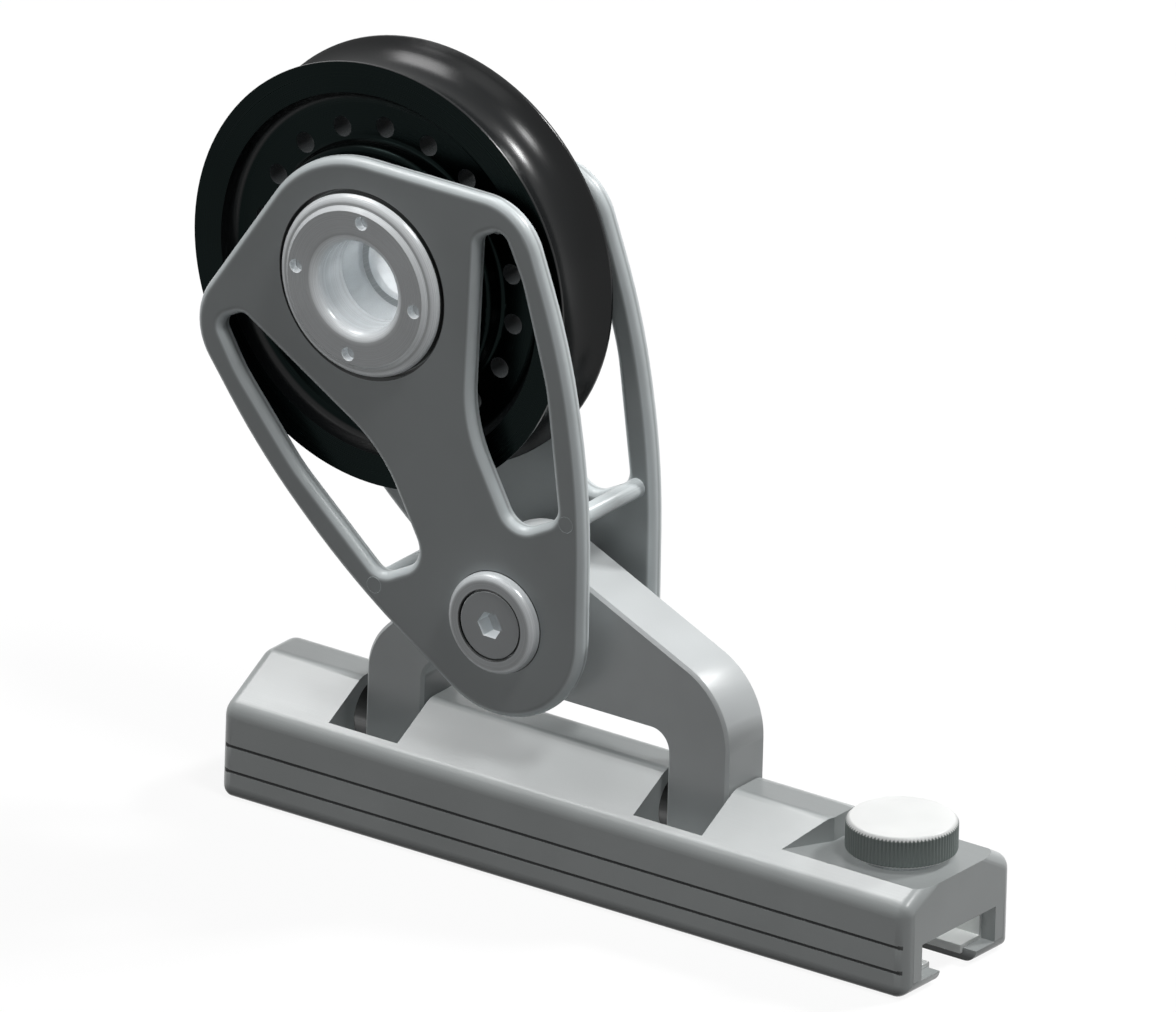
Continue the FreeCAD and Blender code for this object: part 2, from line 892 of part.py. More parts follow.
def bridge():
    """The bail: two legs of unlike width, joined over a window, with the pivot boss on top."""
    body = new_body("bridge")
    sketch = new_sketch(body, "bridge_outline", "XZ_Plane")
    pivot_x = size("pivot_x")
    pivot_z = size("pivot_height")
    boss = size("boss_radius")
    left_run = pivot_x - left_leg_low
    right_run = right_leg_high - pivot_x
    left_drop = (boss - left_run * sine(size("left_slope_angle"))) / cosine(size("left_slope_angle"))
    right_drop = (boss - right_run * sine(size("right_slope_angle"))) / cosine(size("right_slope_angle"))
    foot = size("socket_floor")
    draw_outline(
        sketch,
        [
            sharp(left_leg_high, foot),
            rounded(left_leg_high, size("window_top"), size("window_radius")),
            rounded(right_leg_low, size("window_top"), size("window_radius")),
            sharp(right_leg_low, foot),
            sharp(right_leg_high, foot),
            rounded(right_leg_high, pivot_z + right_drop, size("right_corner_radius")),
            about(pivot_x, pivot_z, boss),
            rounded(left_leg_low, pivot_z + left_drop, size("left_corner_radius")),
            sharp(left_leg_low, foot),
        ],
    )
    plate = pad(body, sketch, "bridge_plate", size("bridge_thickness"), midplane=True)

    def on_face_outline(point):
        return close(abs(point.y), bridge_half) and not close(point.z, foot)

    bevel(body, plate, "bridge_edges", on_face_outline, size("bridge_bevel"))
    hole = new_sketch(body, "bridge_pivot_hole_plan", "XZ_Plane")
    draw_circle(hole, pivot_x, pivot_z, size("bush_diameter") / 2 + size("seat_gap"))
    pocket(body, hole, "bridge_pivot_hole", size("bridge_thickness") + OVERCUT * 2, midplane=True)
    screws = new_sketch(body, "foot_hole_plan", "XY_Plane", foot)
    for _, _, leg_low, leg_high in LEGS:
        draw_circle(screws, (leg_low + leg_high) / 2, ZERO, foot_screw_bore)
    depth = size("foot_screw_length") + size("channel_height") - foot + size("foot_hole_end")
    pocket(body, screws, "foot_holes", depth, along_normal=True)
    return body


def bridge_bush(label, side):
    """A flanged bearing bush pressed in the bail from one side."""
    bore = size("sleeve_diameter") / 2 + size("running_gap")
    barrel = size("bush_diameter") / 2
    inner = size("seat_gap") * side
    face = bridge_half * side
    top = (bridge_half + size("bush_flange_thickness")) * side
    body = turned(
        label,
        [
            sharp(bore, inner),
            sharp(barrel, inner),
            sharp(barrel, face),
            sharp(size("bush_flange") / 2, face),
            rounded(size("bush_flange") / 2, top, size("flange_edge_round")),
            sharp(bore, top),
        ],
    )
    put(body, size("pivot_x"), ZERO, size("pivot_height"))
    return body


# Plunger


def plunger_housing():
    """A threaded cup with a flange, which holds the spring over the pin's collar."""
    top = size("low_end_height") + size("housing_flange_height")
    bottom = size("pin_floor_height") + size("housing_end_gap")
    cavity_top = top - size("housing_roof")
    body = upright(
        "plunger_housing",
        [
            sharp(size("housing_cavity") / 2, bottom),
            sharp(size("housing_diameter") / 2, bottom),
            sharp(size("housing_diameter") / 2, size("low_end_height")),
            sharp(size("housing_flange") / 2, size("low_end_height")),
            rounded(size("housing_flange") / 2, top, size("flange_edge_round")),
            sharp(size("stem_diameter") / 2 + size("pin_play"), top),
            sharp(size("stem_diameter") / 2 + size("pin_play"), cavity_top),
            sharp(size("housing_cavity") / 2, cavity_top),
        ],
    )
    put(body, knob_x, ZERO, ZERO)
    return body


def stem_top():
    """The stem ends inside the knob, under the knob's closed top."""
    return knob_base() + size("knob_height") - size("knob_cover")


def knob_base():
    return size("low_end_height") + size("housing_flange_height") + size("knob_gap")


def plunger_pin():
    """The stop pin: a bevelled tip, a collar that carries the spring, and the stem."""
    radius = size("pin_diameter") / 2
    tip = size("pin_tip_height")
    collar_bottom = size("pin_floor_height") + size("pin_rest_gap")
    collar_top = collar_bottom + size("pin_collar_height")
    body = upright(
        "plunger_pin",
        [
            sharp(0, tip),
            sharp(radius - size("pin_tip_bevel"), tip),
            sharp(radius, tip + size("pin_tip_bevel")),
            sharp(radius, collar_bottom),
            sharp(size("pin_collar_diameter") / 2, collar_bottom),
            sharp(size("pin_collar_diameter") / 2, collar_top),
            sharp(size("stem_diameter") / 2, collar_top),
            sharp(size("stem_diameter") / 2, stem_top()),
            sharp(0, stem_top()),
        ],
    )
    put(body, knob_x, ZERO, ZERO)
    return body


def plunger_spring():
    """An open coil between the pin's collar and the housing's roof."""
    body = new_body("plunger_spring")
    collar_top = size("pin_floor_height") + size("pin_rest_gap") + size("pin_collar_height")
    bottom = collar_top + size("spring_gap")
    roof = size("low_end_height") + size("housing_flange_height") - size("housing_roof")
    wire = size("spring_wire") / 2
    sketch = new_sketch(body, "spring_wire_section", "XZ_Plane")
    draw_circle(sketch, size("spring_diameter") / 2, bottom + wire, wire)
    coil = body.newObject("PartDesign::AdditiveHelix", "spring_coil")
    coil.Profile = sketch
    coil.ReferenceAxis = (sketch, ["V_Axis"])
    coil.Mode = 2
    coil.setExpression("Height", (roof - bottom - size("spring_gap") - wire * 2).formula)
    coil.setExpression("Turns", size("spring_turns").formula)
    document.recompute()
    put(body, knob_x, ZERO, ZERO)
    return body


def plunger_knob():
    """A knurled knob with a bevelled top and a blind hole for the stem."""
    base = knob_base()
    top = base + size("knob_height")
    radius = size("knob_diameter") / 2
    stem = size("stem_diameter") / 2 + size("seat_gap")
    blind = stem_top() + size("seat_gap")
    body = upright(
        "plunger_knob",
        [
            sharp(stem, base),
            sharp(radius - size("knob_bevel") / 2, base),
            sharp(radius, base + size("knob_bevel") / 2),
            sharp(radius, top - size("knob_bevel")),
            sharp(radius - size("knob_bevel"), top),
            sharp(0, top),
            sharp(0, blind),
            sharp(stem, blind),
        ],
    )
    flute = new_sketch(body, "knob_flute_plan", "XY_Plane", base)
    draw_circle(flute, radius + size("knob_flute_radius") / 2, ZERO, size("knob_flute_radius"))
    length = size("knob_height") - size("knob_bevel")
    cut = pocket(body, flute, "knob_flute", length, along_normal=True)
    repeat_round(body, cut, "knob_flutes", "Z_Axis", size("knob_flutes"))
    grub = new_sketch(body, "grub_hole_plan", "XZ_Plane")
    draw_circle(grub, ZERO, grub_height(), size("grub_diameter") / 2 + size("thread_gap"))
    pocket(body, grub, "grub_hole", radius + OVERCUT)
    put(body, knob_x, ZERO, ZERO)
    return body


def grub_height():
    return knob_base() + (size("knob_height") - size("knob_bevel")) / 2


def knob_grub_screw():
    """A small socket screw in the knob's far side, which locks the knob on the stem."""
    body = new_body("knob_grub_screw")
    start = size("stem_diameter") / 2 + size("seat_gap")
    sketch = new_sketch(body, "grub_plan", "XZ_Plane", -start - size("grub_length"))
    draw_circle(sketch, ZERO, ZERO, size("grub_diameter") / 2)
    pad(body, sketch, "grub_bar", size("grub_length"))
    socket = new_sketch(body, "grub_socket_plan", "XZ_Plane", -start - size("grub_length"))
    draw_hexagon(socket, size("grub_hex"))
    pocket(body, socket, "grub_socket", size("grub_diameter") / 2, along_normal=True)
    put(body, knob_x, ZERO, grub_height())
    return body


# Pivot of the lead block


def pivot_sleeve():
    """The journal: a tube between the cheeks, through both bushes."""
    bore = size("pivot_bolt_diameter") / 2 + size("seat_gap")
    journal = size("sleeve_diameter") / 2
    body = turned(
        "pivot_sleeve",
        [
            sharp(bore, -cheek_inner),
            sharp(journal, -cheek_inner),
            sharp(journal, cheek_inner),
            sharp(bore, cheek_inner),
        ],
    )
    put(body, size("pivot_x"), ZERO, size("pivot_height"), lean)
    return body


def pivot_washer(label, side):
    """A thrust washer on the cheek's inner face, a side play away from the bush's flange."""
    bore = size("sleeve_diameter") / 2 + size("seat_gap")
    outside = size("bush_flange") / 2
    inner = (bridge_half + size("bush_flange_thickness") + size("side_play")) * side
    body = turned(
        label,
        [
            sharp(bore, inner),
            sharp(outside, inner),
            sharp(outside, cheek_inner * side),
            sharp(bore, cheek_inner * side),
        ],
    )
    put(body, size("pivot_x"), ZERO, size("pivot_height"), lean)
    return body


def pivot_collar(label, side):
    """A rounded collar whose spigot fills the cheek's hole, recessed for the bolt's head."""
    bore = size("pivot_bolt_diameter") / 2 + size("seat_gap")
    spigot = size("collar_spigot") / 2
    flange = size("collar_diameter") / 2
    recess = size("pivot_head_diameter") / 2 + size("collar_head_gap")
    top = cheek_outer + size("collar_proud")
    seat = cheek_outer + size("pivot_head_proud") - size("pivot_head_thickness")
    body = turned(
        label,
        [
            sharp(bore, cheek_inner * side),
            sharp(spigot, cheek_inner * side),
            sharp(spigot, cheek_outer * side),
            sharp(flange, cheek_outer * side),
            rounded(flange, top * side, size("collar_round")),
            sharp(recess, top * side),
            sharp(recess, seat * side),
            sharp(bore, seat * side),
        ],
    )
    put(body, size("pivot_x"), ZERO, size("pivot_height"), lean)
    return body


def cut_pivot_hexagon(body, name, face, into_far):
    """A hexagon socket in a pivot head: face is the head's place along the sketch's normal."""
    sketch = new_sketch(body, f"{name}_plan", "XZ_Plane", face)
    draw_hexagon(sketch, size("pivot_hex"))
    pocket(body, sketch, name, size("pivot_hex_depth"), along_normal=into_far)


def pivot_bolt():
    """A low head, a shank as wide as the sleeve's bore, and a threaded end that enters the nut."""
    shank = size("pivot_bolt_diameter") / 2
    thread = size("pivot_thread_diameter") / 2
    face = cheek_outer + size("pivot_head_proud")
    seat = face - size("pivot_head_thickness")
    body = turned(
        "pivot_bolt",
        [
            sharp(0, -face),
            rounded(size("pivot_head_diameter") / 2, -face, size("pivot_head_round")),
            sharp(size("pivot_head_diameter") / 2, -seat),
            sharp(shank, -seat),
            sharp(shank, 0),
            sharp(thread, 0),
            rounded(thread, size("pivot_thread_length"), size("thread_tip_round")),
            sharp(0, size("pivot_thread_length")),
        ],
    )
    cut_pivot_hexagon(body, "bolt_socket", face, False)
    put(body, size("pivot_x"), ZERO, size("pivot_height"), lean)
    return body


def pivot_nut():
    """The barrel nut: its barrel meets the bolt's shoulder inside the sleeve."""
    barrel = size("pivot_bolt_diameter") / 2
    thread = size("pivot_thread_diameter") / 2 + size("thread_gap")
    face = cheek_outer + size("pivot_head_proud")
    seat = face - size("pivot_head_thickness")
    start = size("pivot_joint_gap")
    blind = size("pivot_thread_length") + size("pivot_thread_end")
    body = turned(
        "pivot_nut",
        [
            sharp(thread, start),
            sharp(barrel, start),
            sharp(barrel, seat),
            sharp(size("pivot_head_diameter") / 2, seat),
            rounded(size("pivot_head_diameter") / 2, face, size("pivot_head_round")),
            sharp(0, face),
            sharp(0, blind),
            sharp(thread, blind),
        ],
    )
    cut_pivot_hexagon(body, "nut_socket", -face, True)
    put(body, size("pivot_x"), ZERO, size("pivot_height"), lean)
    return body


# Cheeks and cross pins


def cheek(label, side):
    """A cheek plate: outline, two arm windows, rounded edges, and holes for the axle and pins."""
    body = new_body(label)
    start = cheek_inner if side == NEAR else -cheek_outer
    foot = size("cheek_foot_radius")
    flare = size("cheek_flare_angle")
    run = (size("cheek_waist_rise") + foot * sine(flare)) / cosine(flare)
    waist_half = foot * cosine(flare) + run * sine(flare)
    waist = (waist_half, size("cheek_waist_rise"), size("cheek_waist_radius"))
    hip = (size("cheek_hip_half"), size("cheek_hip_rise"), size("cheek_hip_radius"))
    corner = (size("cheek_corner_half"), size("cheek_corner_rise"), size("cheek_corner_radius"))
    outline = new_sketch(body, f"{label}_outline", "XZ_Plane", start)
    corners = [about(ZERO, ZERO, foot)]
    corners += [rounded(x, z, radius) for x, z, radius in (waist, hip, corner)]
    corners.append(about(ZERO, size("block_length"), size("cheek_top_radius")))
    corners += [rounded(-x, z, radius) for x, z, radius in (corner, hip, waist)]
    draw_outline(outline, corners)
    pad(body, outline, f"{label}_plate", size("cheek_thickness"))

    windows = new_sketch(body, f"{label}_window_plan", "XZ_Plane", start)
    for arm in (-1, 1):
        draw_outline(windows, [rounded(x * arm, z, radius) for x, z, radius in window_corners()])
    through = size("cheek_thickness")
    opened = pocket(body, windows, f"{label}_windows", through, along_normal=True)

    def on_either_face(point):
        return close(abs(point.y), cheek_inner) or close(abs(point.y), cheek_outer)

    soften(body, opened, f"{label}_edges", on_either_face, size("cheek_round"))

    holes = new_sketch(body, f"{label}_hole_plan", "XZ_Plane", start)
    draw_circle(holes, ZERO, size("block_length"), size("axle_spigot") / 2 + size("seat_gap"))
    draw_circle(holes, ZERO, ZERO, size("collar_spigot") / 2 + size("seat_gap"))
    for arm in (-1, 1):
        pin = size("spacer_spigot") / 2 + size("seat_gap")
        draw_circle(holes, size("spacer_half") * arm, size("spacer_rise"), pin)
    pocket(body, holes, f"{label}_holes", through, along_normal=True)

    recess_start = cheek_outer - size("nut_recess_depth") if side == NEAR else -cheek_outer
    recess = new_sketch(body, f"{label}_recess_plan", "XZ_Plane", recess_start)
    draw_circle(recess, ZERO, size("block_length"), size("nut_recess") / 2)
    pocket(body, recess, f"{label}_recess", size("nut_recess_depth"), along_normal=True)
    put(body, size("pivot_x"), ZERO, size("pivot_height"), lean)
    return body


def window_corners():
    """The window in a cheek's arm: half width, rise and rounding of each corner."""
    return [
        (size("slot_inner_half"), size("slot_foot_rise"), size("slot_inner_foot_radius")),
        (size("slot_outer_foot_half"), size("slot_foot_rise"), size("slot_outer_foot_radius")),
        (size("slot_waist_half"), size("slot_waist_rise"), size("slot_waist_radius")),
        (size("slot_hip_half"), size("slot_hip_rise"), size("slot_hip_radius")),
        (size("slot_top_outer_half"), size("slot_top_rise"), size("slot_top_radius")),
        (size("slot_top_inner_half"), size("slot_top_rise"), size("slot_top_radius")),
        (size("slot_inner_half"), size("slot_bend_rise"), size("slot_bend_radius")),
    ]


def spacer(label, arm):
    """A cross pin between the cheeks, with thinner ends riveted flush in their holes."""
    middle = size("spacer_diameter") / 2
    end = size("spacer_spigot") / 2
    body = turned(
        label,
        [
            sharp(0, -cheek_outer),
            sharp(end, -cheek_outer),
            sharp(end, -cheek_inner),
            sharp(middle, -cheek_inner),
            sharp(middle, cheek_inner),
            sharp(end, cheek_inner),
            sharp(end, cheek_outer),
            sharp(0, cheek_outer),
        ],
    )
    half = size("spacer_half") * arm
    rise = size("spacer_rise")
    x = size("pivot_x") + half * cosine(lean) - rise * sine(lean)
    z = size("pivot_height") + half * sine(lean) + rise * cosine(lean)
    put(body, x, ZERO, z, lean)
    return body


# Hollow axle and its nuts


def hollow_axle():
    """A tube with the bearing's inner race, a rib in the middle of its bore and threaded ends."""
    race = size("axle_diameter") / 2
    spigot = size("axle_spigot") / 2
    bore = size("axle_bore") / 2
    rib = bore - size("axle_rib_depth")
    rib_half = size("axle_rib_width") / 2
    thread = size("axle_thread") / 2 + size("thread_gap")
    end = cheek_outer - size("nut_recess_depth") - size("axle_end_gap")
    thread_end = cheek_outer - size("nut_recess_depth") - size("nut_spigot_length") - size("axle_end_gap")
    body = turned(
        "hollow_axle",
        [
            sharp(thread, -end),
            sharp(spigot, -end),
            sharp(spigot, -cheek_inner),
            sharp(race, -cheek_inner),
            sharp(race, cheek_inner),
            sharp(spigot, cheek_inner),
            sharp(spigot, end),
            sharp(thread, end),
            sharp(thread, thread_end),
            sharp(bore, thread_end),
            sharp(bore, rib_half),
            sharp(rib, rib_half),
            sharp(rib, -rib_half),
            sharp(bore, -rib_half),
            sharp(bore, -thread_end),
            sharp(thread, -thread_end),
        ],
    )
    put(body, sheave_x, ZERO, sheave_z, lean)
    return body


def axle_nut(label, side):
    """A flanged hollow nut: rounded rim, bevel, face with four pin holes, and a rounded mouth."""
    seat = cheek_outer - size("nut_recess_depth")
    face = cheek_outer + size("nut_proud")
    inner = seat - size("nut_spigot_length")
    flange = size("nut_flange") / 2
    bore = size("axle_bore") / 2
    thread = size("axle_thread") / 2
    ring = flange - size("nut_round") - size("nut_land")
    shelf = face - size("nut_bevel")
    body = turned(
        label,
        [
            sharp(bore, inner * side),
            sharp(thread, inner * side),
            sharp(thread, seat * side),
            sharp(flange, seat * side),
            rounded(flange, shelf * side, size("nut_round")),
            sharp(ring, shelf * side),
            sharp(ring - size("nut_bevel"), face * side),
            rounded(bore, face * side, size("nut_mouth_round")),
        ],
    )
    start = face - size("nut_pin_depth") if side == NEAR else -face
    holes = new_sketch(body, f"{label}_pin_hole_plan", "XZ_Plane", start)
    for quarter in range(4):
        angle = size("nut_pin_angle") + 90 * quarter
        reach = size("nut_pin_circle") / 2
        draw_circle(holes, reach * cosine(angle), reach * sine(angle), size("nut_pin_hole") / 2)
    pocket(body, holes, f"{label}_pin_holes", size("nut_pin_depth"), along_normal=True)
    put(body, sheave_x, ZERO, sheave_z, lean)
    return body


# Sheave and its bearing


def sheave():
    """The turned wheel: rope groove, thin rim lands, dished sides, web, hub and outer race."""
    rim = size("sheave_diameter") / 2
    rim_half = size("rim_width") / 2
    land = rim_half - size("rim_land")
    depth = size("rope_groove_depth")
    groove = (land * land + depth * depth) / (depth * 2)
    web = size("web_thickness") / 2
    step = size("rim_step_radius")
    hub = size("hub_radius")
    upper = [
        sharp(outer_race, hub_half),
        rounded(hub, hub_half, size("hub_round")),
        rounded(hub, web, size("hub_cove")),
        rounded(step, web, size("web_cove_radius")),
        sharp(step, rim_half),
        sharp(rim, rim_half),
    ]
    lower = [Corner(c.x, -c.y, radius=c.radius) for c in reversed(upper)]
    body = turned(
        "sheave",
        upper + [bowed(rim, land, groove), sharp(rim, -land)] + lower,
    )
    hole = new_sketch(body, "web_hole_plan", "XZ_Plane")
    reach = size("web_hole_circle") / 2
    turn = size("web_hole_angle") - lean
    draw_circle(hole, reach * cosine(turn), reach * sine(turn), size("web_hole_diameter") / 2)
    drilled = pocket(body, hole, "web_hole", size("web_thickness") + OVERCUT, midplane=True)
    repeat_round(body, drilled, "web_holes", "Y_Axis", size("web_hole_count"))
    put(body, sheave_x, ZERO, sheave_z, lean)
    return body


def bearing_cover(label, side):
    """A flat ring on the hub's face that keeps the rollers in and bears on the cheek."""
    bore = inner_race + size("cover_gap")
    outside = size("cover_diameter") / 2
    top = cheek_inner - size("side_play")
    body = turned(
        label,
        [
            sharp(bore, hub_half * side),
            sharp(outside, hub_half * side),
            sharp(outside, top * side),
            sharp(bore, top * side),
        ],
    )
    put(body, sheave_x, ZERO, sheave_z, lean)
    return body


def bearing_rollers():
    rollers = []
    length = size("roller_length")
    for index in range(int(size("roller_count").value)):
        roller = document.addObject("Part::Cylinder", f"roller_{index}")
        roller.setExpression("Radius", (size("roller_diameter") / 2).formula)
        roller.setExpression("Height", length.formula)
        angle = lean + fixed(360) / size("roller_count") * index
        x = sheave_x - roller_circle * sine(angle)
        z = sheave_z + roller_circle * cosine(angle)
        roller.Placement = FreeCAD.Placement(Vector(), FreeCAD.Rotation(Vector(1, 0, 0), -90))
        for letter, amount in (("x", x), ("y", -length / 2), ("z", z)):
            roller.setExpression(f"Placement.Base.{letter}", amount.formula)
        rollers.append(roller)
    return group("bearing_rollers", rollers)


def roller_cage():
    """A thin ring with one window for each roller."""
    body = new_body("roller_cage")
    half = hub_half - size("cage_end_gap")
    inside = roller_circle - size("cage_thickness") / 2
    outside = roller_circle + size("cage_thickness") / 2
    ring = new_sketch(body, "cage_ring_plan", "XZ_Plane")
    draw_circle(ring, ZERO, ZERO, outside)
    draw_circle(ring, ZERO, ZERO, inside)
    pad(body, ring, "cage_ring", half * 2, midplane=True)
    window = new_sketch(body, "cage_window_plan", "XY_Plane")
    width = size("roller_diameter") / 2 + size("roller_gap")
    reach = size("roller_length") / 2 + size("roller_gap")
    draw_box(window, -width, -reach, width, reach)
    cut = pocket(body, window, "cage_window", outside + OVERCUT, along_normal=True)
    repeat_round(body, cut, "cage_windows", "Y_Axis", size("roller_count"))
    put(body, sheave_x, ZERO, sheave_z, lean)
    return body


NODES = [
    car_body(),
    slide_liner("slide_liner_near", NEAR),
    slide_liner("slide_liner_far", FAR),
    liner_screws(),
    bridge(),
    bridge_screws(),
    bridge_bush("bridge_bush_near", NEAR),
    bridge_bush("bridge_bush_far", FAR),
    plunger_housing(),
    plunger_pin(),
    plunger_spring(),
    plunger_knob(),
    knob_grub_screw(),
    pivot_sleeve(),
    pivot_washer("pivot_washer_near", NEAR),
    pivot_washer("pivot_washer_far", FAR),
    pivot_collar("pivot_collar_near", NEAR),
    pivot_collar("pivot_collar_far", FAR),
    pivot_bolt(),
    pivot_nut(),
    cheek("cheek_near", NEAR),
    cheek("cheek_far", FAR),
    spacer("spacer_left", -1),
    spacer("spacer_right", 1),
    hollow_axle(),
    axle_nut("axle_nut_near", NEAR),
    axle_nut("axle_nut_far", FAR),
    sheave(),
    bearing_cover("bearing_cover_near", NEAR),
    bearing_cover("bearing_cover_far", FAR),
    bearing_rollers(),
    roller_cage(),
]


def check_and_write():
    """Stops on any failed object or bad shape, then writes one file for each node."""
    document.recompute()
    for item in document.Objects:
        if "Invalid" in item.State or "Error" in item.State:
            raise RuntimeError(f"{item.Label} failed: {item.State}")
    for node in NODES:
        if node.Shape.isNull() or not node.Shape.isValid():
            raise RuntimeError(f"{node.Label} has no sound shape")
    os.makedirs("parts", exist_ok=True)
    for node in NODES:
        node.Shape.exportStep(f"parts/{node.Label}.step")


check_and_write()
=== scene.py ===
import json
import math

import bmesh
import bpy
from mathutils import Matrix, Vector

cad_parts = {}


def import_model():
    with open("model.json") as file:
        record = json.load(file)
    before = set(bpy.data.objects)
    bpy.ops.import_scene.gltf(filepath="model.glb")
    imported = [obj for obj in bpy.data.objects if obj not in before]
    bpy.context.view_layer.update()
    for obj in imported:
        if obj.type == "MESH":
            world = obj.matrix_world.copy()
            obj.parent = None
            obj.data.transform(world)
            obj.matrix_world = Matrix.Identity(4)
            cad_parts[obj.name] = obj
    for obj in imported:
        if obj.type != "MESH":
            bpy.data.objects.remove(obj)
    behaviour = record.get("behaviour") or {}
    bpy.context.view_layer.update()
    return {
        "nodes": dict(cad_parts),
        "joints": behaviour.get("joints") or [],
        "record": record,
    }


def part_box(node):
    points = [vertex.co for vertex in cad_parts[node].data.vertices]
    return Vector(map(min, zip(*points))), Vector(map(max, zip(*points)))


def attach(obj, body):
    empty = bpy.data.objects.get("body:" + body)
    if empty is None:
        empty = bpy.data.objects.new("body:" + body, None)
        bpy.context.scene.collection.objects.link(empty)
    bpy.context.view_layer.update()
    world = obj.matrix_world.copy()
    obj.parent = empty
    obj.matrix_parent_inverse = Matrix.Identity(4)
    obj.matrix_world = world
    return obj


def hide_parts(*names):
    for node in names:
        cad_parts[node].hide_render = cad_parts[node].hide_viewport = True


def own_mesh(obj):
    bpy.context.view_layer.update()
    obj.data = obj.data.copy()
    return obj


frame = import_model()
NODES = frame["nodes"]
MM = 0.001


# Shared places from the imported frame, in millimetres


def joint_place(name):
    for joint in frame["joints"]:
        if joint["name"] == name:
            return Vector(joint["pos_m"]) / MM
    raise LookupError(name)


PIVOT = joint_place("block_pivot")
SHEAVE = joint_place("sheave_spin")
KNOB_LOW, KNOB_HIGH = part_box("plunger_knob")
KNOB_X = (KNOB_LOW.x + KNOB_HIGH.x) / 2 / MM
CAR_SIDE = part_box("car_body")[1].y / MM

# Height of the middle of the car's core bore, as in the part's source
CORE_HEIGHT = 25.5

# The line that each axis runs along, and a point on it
AXES = {
    "sheave": ("Y", SHEAVE),
    "pivot": ("Y", PIVOT),
    "knob": ("Z", Vector((KNOB_X, 0, 0))),
    "bar": ("Y", Vector((0, 0, 0))),
    "core": ("X", Vector((0, 0, CORE_HEIGHT))),
}


# Where the materials change, in millimetres

# Rings of painted shade where round parts meet: axis, inner radius, outer radius
NUT_IN_CHEEK = ("sheave", 26.6, 27.45)
NUT_RIM = ("sheave", 26.2, 26.6)
COLLAR_IN_CHEEK = ("pivot", 14.2, 14.75)
COLLAR_MOUTH = ("pivot", 10.0, 10.4)
BOLT_RIM = ("pivot", 9.6, 9.95)

# Rings of the sheave that hold the rope's groove and the web's holes, whose walls get painted light
ROPE_GROOVE = ("sheave", 46.0, 61.6)
WEB_HOLES = ("sheave", 38.5, 44.9)

# The car's core bore and side grooves, and the foot of its sides, all with painted shade
CORE_BORE = ("core", 0.0, 8.8)
CORE_ENDS = (-115.0, 47.0)
LOWER_GROOVE = (6.9, 8.1)
UPPER_GROOVE = (14.3, 15.5)
GROOVE_DEPTHS = (CAR_SIDE - 0.78, CAR_SIDE - 0.12)
FOOT_SHADE_HEIGHT = 3.6

# Shares by how squarely a face looks along an axis: (squareness, share) from edge on to square
FLAT_SHADE_STOPS = [(0.0, 0.0), (0.95, 0.0), (0.99, 1.0)]
ROUND_HIGHLIGHT_STOPS = [(0.0, 0.3), (0.15, 1.0), (0.9, 1.0), (0.99, 0.0)]
TURNED_HIGHLIGHT_STOPS = [(0.0, 1.0), (0.93, 1.0), (0.985, 0.0)]
GROOVE_STOPS = [(0.0, 1.0), (0.86, 1.0), (0.93, 0.0)]
HOLE_LIGHT_STOPS = [(0.0, 1.0), (0.2, 1.0), (0.35, 0.0)]
KNOB_SIDE_SHADE_STOPS = [(0.0, 1.0), (0.3, 1.0), (0.5, 0.0)]
FOOT_SHADE_FACING = [(0.0, 0.0), (0.5, 0.0), (0.9, 1.0)]

# Shares of the painted shade up the foot: (share of its height, share of its tone)
FOOT_SHADE_STOPS = [(0.0, 1.0), (0.35, 0.95), (1.0, 0.0)]


# Shader nodes


def material(name):
    made = bpy.data.materials.new(name)
    made.use_nodes = True
    tree = made.node_tree
    shader = tree.nodes["Principled BSDF"]
    return made, tree, shader


def node(tree, kind, **values):
    """A new node; a value named in_NAME is set on that input."""
    made = tree.nodes.new(kind)
    for key, value in values.items():
        if key.startswith("in_"):
            made.inputs[key[3:]].default_value = value
        else:
            setattr(made, key, value)
    return made


def maths(tree, operation, *terms):
    """A Math node's result from sockets and plain numbers."""
    made = node(tree, "ShaderNodeMath", operation=operation)
    for socket, term in zip(made.inputs, terms):
        if isinstance(term, (int, float)):
            socket.default_value = term
        else:
            tree.links.new(term, socket)
    return made.outputs["Value"]


def between(tree, value, low, high):
    """One where a value lies between two numbers, and nothing elsewhere."""
    return maths(tree, "COMPARE", value, (low + high) / 2, (high - low) / 2)


def split(tree, vector):
    """A vector's X, Y and Z."""
    made = node(tree, "ShaderNodeSeparateXYZ")
    tree.links.new(vector, made.inputs["Vector"])
    return made.outputs


def scaled(tree, vector, factor):
    made = node(tree, "ShaderNodeVectorMath", operation="SCALE", in_Scale=factor)
    tree.links.new(vector, made.inputs[0])
    return made.outputs["Vector"]


def stretched(tree, scale):
    """Object coordinates in millimetres, stretched."""
    place = node(tree, "ShaderNodeTexCoord")
    grid = node(tree, "ShaderNodeMapping", in_Scale=[s / MM for s in scale])
    tree.links.new(place.outputs["Object"], grid.inputs["Vector"])
    return grid.outputs["Vector"]


def away_from(tree, axis):
    """Distance in millimetres from an axis as X, and place along it as Y."""
    line, centre = AXES[axis]
    place = node(tree, "ShaderNodeTexCoord")
    shifted = node(tree, "ShaderNodeVectorMath", operation="SUBTRACT")
    shifted.inputs[1].default_value = centre * MM
    tree.links.new(place.outputs["Object"], shifted.inputs[0])
    parts = split(tree, shifted.outputs["Vector"])
    flat = node(tree, "ShaderNodeCombineXYZ")
    for name in "XYZ":
        if name != line:
            tree.links.new(parts[name], flat.inputs[name])
    reach = node(tree, "ShaderNodeVectorMath", operation="LENGTH")
    tree.links.new(flat.outputs["Vector"], reach.inputs[0])
    both = node(tree, "ShaderNodeCombineXYZ")
    tree.links.new(reach.outputs["Value"], both.inputs["X"])
    tree.links.new(parts[line], both.inputs["Y"])
    return scaled(tree, both.outputs["Vector"], 1 / MM)


def within(tree, axis, low, high):
    """One between two distances from an axis, in millimetres, and nothing elsewhere."""
    return between(tree, split(tree, away_from(tree, axis))["X"], low, high)


